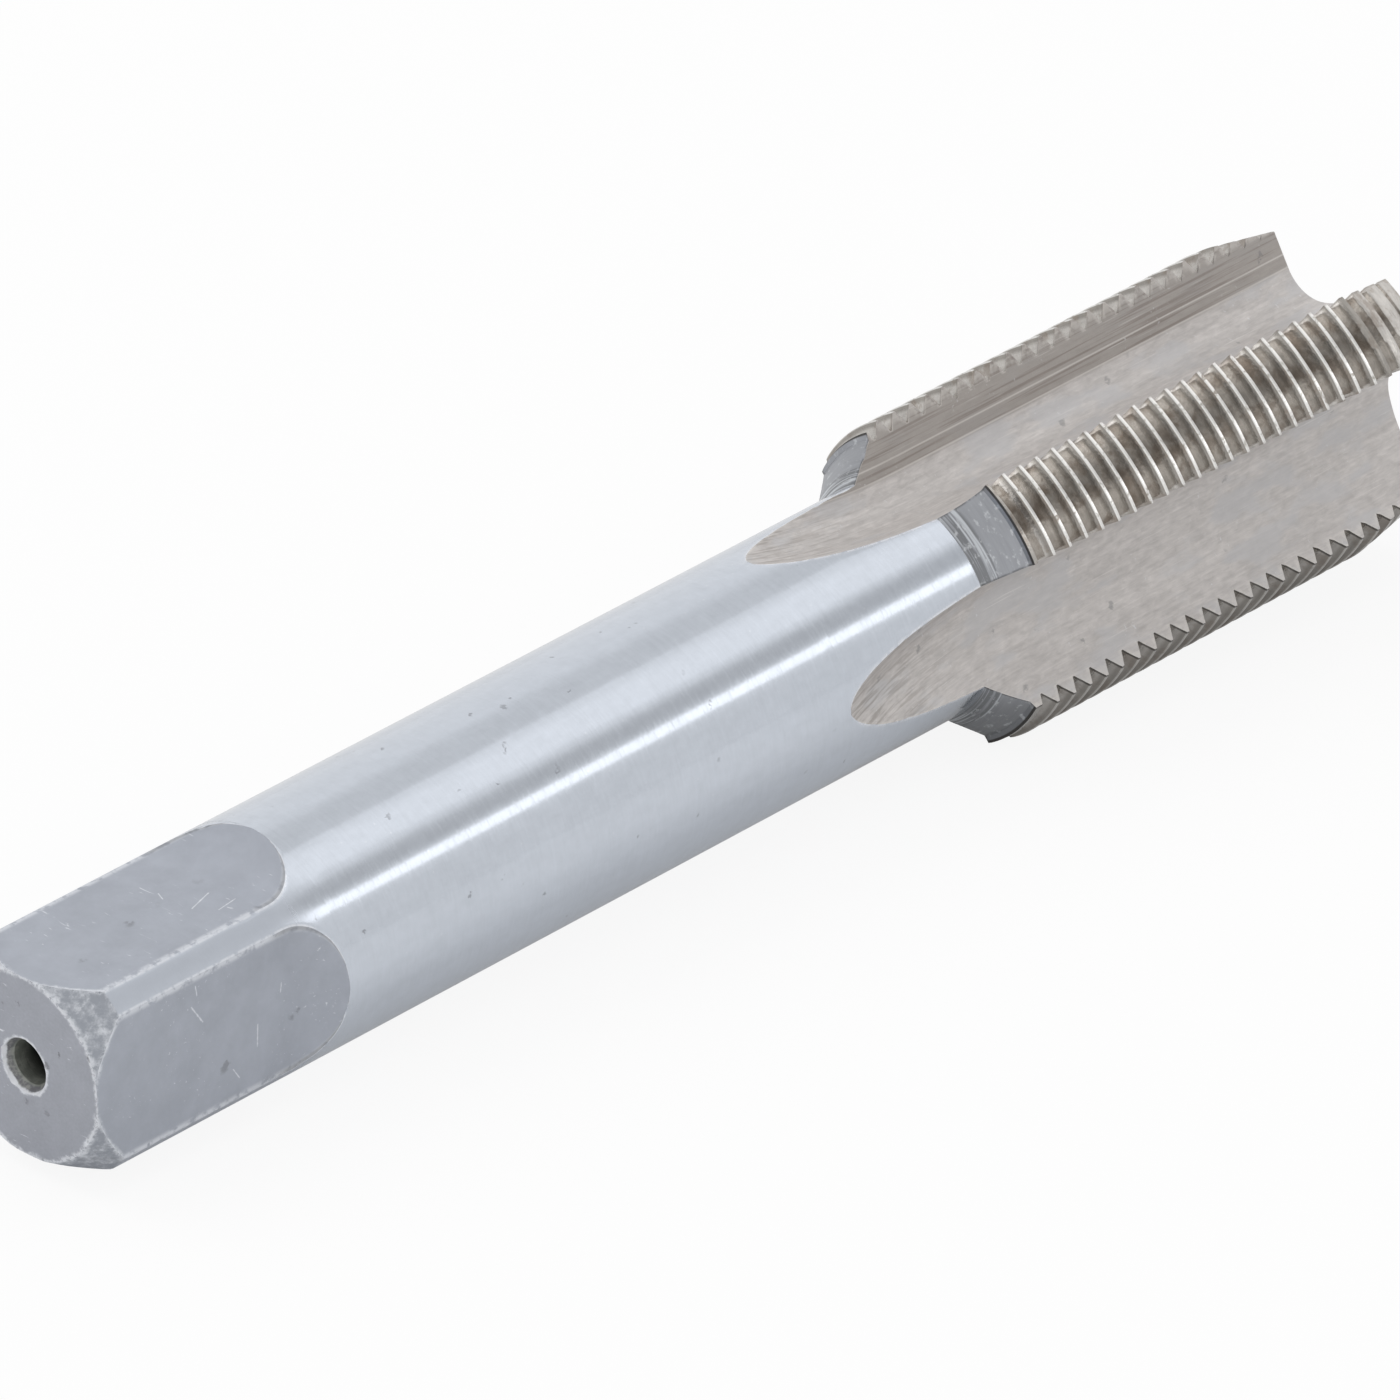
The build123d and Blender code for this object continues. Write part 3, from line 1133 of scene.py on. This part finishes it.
def nose_steel():
    shade = Shade("faced_nose_steel", nose_grey, 0.4)
    rings = facing_rings(shade, shade.radius(), 7.0, 3.0)
    shade.vary(rings, 0.4)
    shade.vary(shade.noise(0.8, 4.0, 0.6), 0.3)
    scuffed(shade, 0.6)
    shade.relief(rings, 0.008)
    return shade.done()


# ---- the piece

for make in (end_face_steel, flat_steel, shank_steel, shoulder_steel, thread_steel, flute_steel,
             hole_steel, nose_steel):
    mesh.materials.append(make())
tap = bpy.data.objects.new("tap_steel", mesh)
bpy.context.scene.collection.objects.link(tap)
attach(tap, "root")
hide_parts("tap")


# ---- floor, world, lamps, camera

floor_reach = 3.0  # half of a side
floor_grey = 0.80
floor_white = 0.9  # share of plain white over the floor, as the camera sees it
mirrored_share = 0.28  # part of that share that the metal reflects
mirrored_glow = 0.76  # and how bright it is there
world_level = 0.90
lamp_distance = 1.5

# Direction, angle where the gap begins, angle where it is darkest, and the light left there
studio_gaps = (
    ((0.618, -0.480, 0.623), 10, 2, 0.66),
    ((0.628, 0.277, 0.738), 20, 4, 0.84),
    ((-0.983, -0.062, 0.168), 10, 3, 0.08),
    ((0.620, -0.765, 0.170), 20, 6, 0.88),
    ((0.352, -0.622, 0.700), 14, 5, 0.52),
    ((-0.618, 0.480, 0.623), 12, 3, 0.62),
    ((-0.628, -0.277, 0.738), 20, 4, 0.84),
    ((-0.620, 0.765, 0.170), 22, 6, 0.86),
    ((0.0, -0.62, 0.78), 16, 4, 0.58),
    ((0.0, 0.62, 0.78), 16, 4, 0.58),
    ((0.0, -0.96, 0.26), 20, 6, 0.82),
    ((0.0, 0.96, 0.26), 20, 6, 0.82),
)

# The camera looks along the tool from its driving end, through a long lens.
lens_length = 468.0763
film_width = 36.0
view_turn = -46.054334
view_rise = 28.526731
view_distance = 1.1342263
view_target = Vector((0.00042259, 0.00028366, 0.00938465))


def white_floor():
    """Pale floor that shows white and keeps a soft shadow."""
    plane = bpy.data.meshes.new("floor")
    sides = ((-1, -1), (1, -1), (1, 1), (-1, 1))
    plane.from_pydata([(x * floor_reach, y * floor_reach, 0) for x, y in sides], [], [(0, 1, 2, 3)])
    floor = bpy.data.objects.new("floor", plane)
    bpy.context.scene.collection.objects.link(floor)
    material = bpy.data.materials.new("floor_white")
    material.use_nodes = True
    tree = material.node_tree
    tree.nodes.clear()
    from_camera = output(tree, "LightPath", result="Is Camera Ray")
    mirrored = output(tree, "LightPath", result="Is Glossy Ray") * mirrored_share
    share = from_camera.math("MAXIMUM", from_camera, mirrored) * floor_white
    strength = from_camera.math("MAXIMUM", from_camera, mirrored_glow)
    diffuse = output(tree, "BsdfDiffuse", {"Color": (floor_grey, floor_grey, floor_grey, 1)})
    glow = output(tree, "Emission", {"Strength": strength})
    mixed = output(tree, "MixShader", {"Fac": share, 1: diffuse, 2: glow})
    connect(tree, tree.nodes.new("ShaderNodeOutputMaterial"), {"Surface": mixed})
    plane.materials.append(material)
    return floor


def studio_world():
    """White to the camera, and to the tool one plain level with soft darker gaps."""
    world = bpy.data.worlds.new("studio")
    bpy.context.scene.world = world
    world.use_nodes = True
    tree = world.node_tree
    tree.nodes.clear()
    way = output(tree, "TexCoord", result="Generated")
    level = world_level
    for direction, wide, narrow, low in studio_gaps:
        ends = {0: way, 1: Vector(direction).normalized()}
        facing = output(tree, "VectorMath", ends, "Value", operation="DOT_PRODUCT")
        level = facing.between(cos(radians(wide)), cos(radians(narrow)), 1.0, low) * level
    from_camera = output(tree, "LightPath", result="Is Camera Ray")
    strength = level.math("MAXIMUM", level, from_camera)
    light = output(tree, "Background", {"Color": (1, 1, 1, 1), "Strength": strength})
    connect(tree, tree.nodes.new("ShaderNodeOutputWorld"), {"Surface": light})


def facing_frame(place, right, up, back):
    """Where a lamp or a camera stands, and how it is turned."""
    return Matrix.Translation(place) @ Matrix((right, up, back)).transposed().to_4x4()


def softbox(name, direction, across_degrees, long_side, radiance):
    """Area lamp seen from the tool in one direction, its long side along the tool."""
    direction = Vector(direction).normalized()
    along = (Vector((1, 0, 0)) - direction * direction.x).normalized()
    lamp = bpy.data.lights.new(name, "AREA")
    lamp.shape = "RECTANGLE"
    lamp.size = long_side
    lamp.size_y = 2 * lamp_distance * tan(radians(across_degrees / 2))
    lamp.energy = radiance * pi * lamp.size * lamp.size_y
    box = bpy.data.objects.new(name, lamp)
    box.visible_camera = False
    box.matrix_world = facing_frame(direction * lamp_distance, along, direction.cross(along), direction)
    bpy.context.scene.collection.objects.link(box)
    return box


def camera():
    lens = bpy.data.cameras.new("camera")
    lens.lens = lens_length
    lens.sensor_width = film_width
    lens.clip_end = 10.0
    seat = bpy.data.objects.new("camera", lens)
    bpy.context.scene.collection.objects.link(seat)
    turn, rise = radians(view_turn), radians(view_rise)
    right = Vector((cos(turn), sin(turn), 0))
    forward = Vector((-sin(turn) * cos(rise), cos(turn) * cos(rise), -sin(rise)))
    place = view_target - forward * view_distance
    seat.matrix_world = facing_frame(place, right, right.cross(forward), -forward)
    bpy.context.scene.camera = seat


white_floor()
studio_world()
softbox("strip_lamp", (0.6175, -0.618, 0.482), 7.0, 1.2, 0.66)
softbox("side_lamp", (0.622, -0.094, 0.785), 26.0, 1.2, 0.17)
softbox("back_strip_lamp", (-0.6175, 0.618, 0.482), 7.0, 1.2, 0.60)
softbox("groove_lamp", (0.315, -0.25, 0.915), 13.0, 0.3, 1.0)
softbox("overhead_lamp", (-0.15, 0.54, 0.83), 36.0, 1.0, 2.0).visible_glossy = False
softbox("end_lamp", (-0.94, 0.15, 0.27), 13.0, 0.4, 0.8)
camera()
bpy.context.scene.view_settings.view_transform = "Standard"
